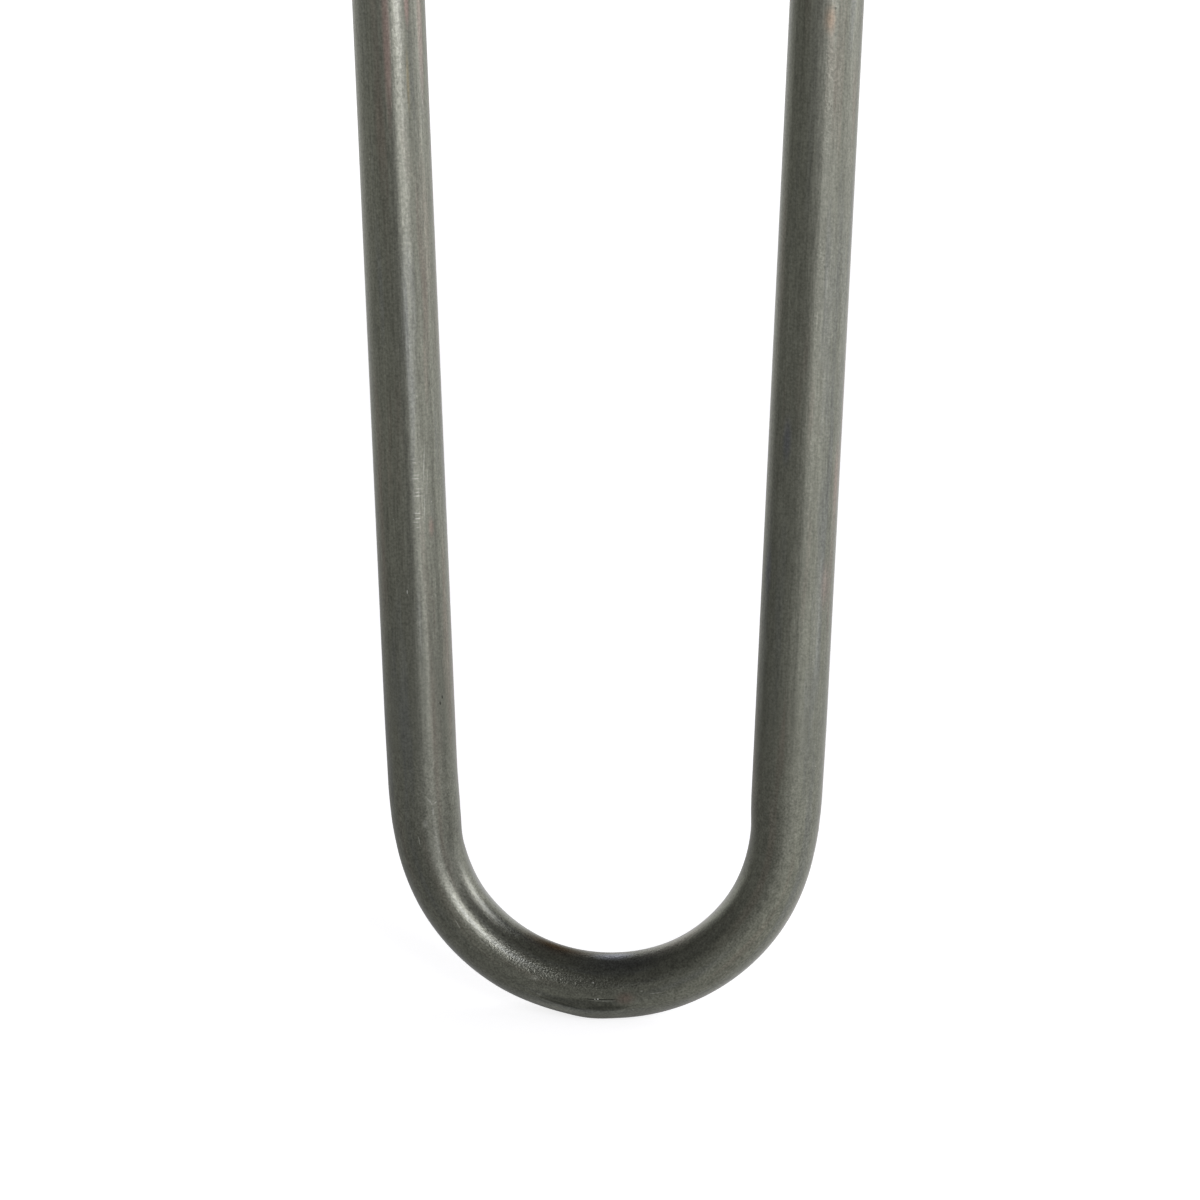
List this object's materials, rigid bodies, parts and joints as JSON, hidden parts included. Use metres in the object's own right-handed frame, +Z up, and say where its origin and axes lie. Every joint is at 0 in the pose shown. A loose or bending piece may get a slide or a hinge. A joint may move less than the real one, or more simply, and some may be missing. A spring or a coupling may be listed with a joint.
{
  "type": "hairpin table leg",
  "caption": "Hairpin table leg: a round steel bar bent into a narrow U and welded under a screw-on plate that carries the table top.",
  "frame": {"origin": "centre of the four screw holes, on the plate's top face", "axes": "+Z up into the table top, X along the plate's length and across the hairpin, -Y outwards, the way the foot leans"},
  "size_m": [0.14, 0.1772, 0.711],
  "materials": {
    "bar_steel": "raw drawn mild steel, dark satin, fine lengthwise streaks",
    "plate_steel": "raw flat mild steel, dark satin, faint rolling grain",
    "weld_steel": "raw weld metal, rippled, faint heat tint"
  },
  "bodies": {
    "root": {"hairpin_rod": "bar_steel", "mounting_plate": "plate_steel", "left_weld": "weld_steel", "right_weld": "weld_steel"}
  },
  "joints": []
}
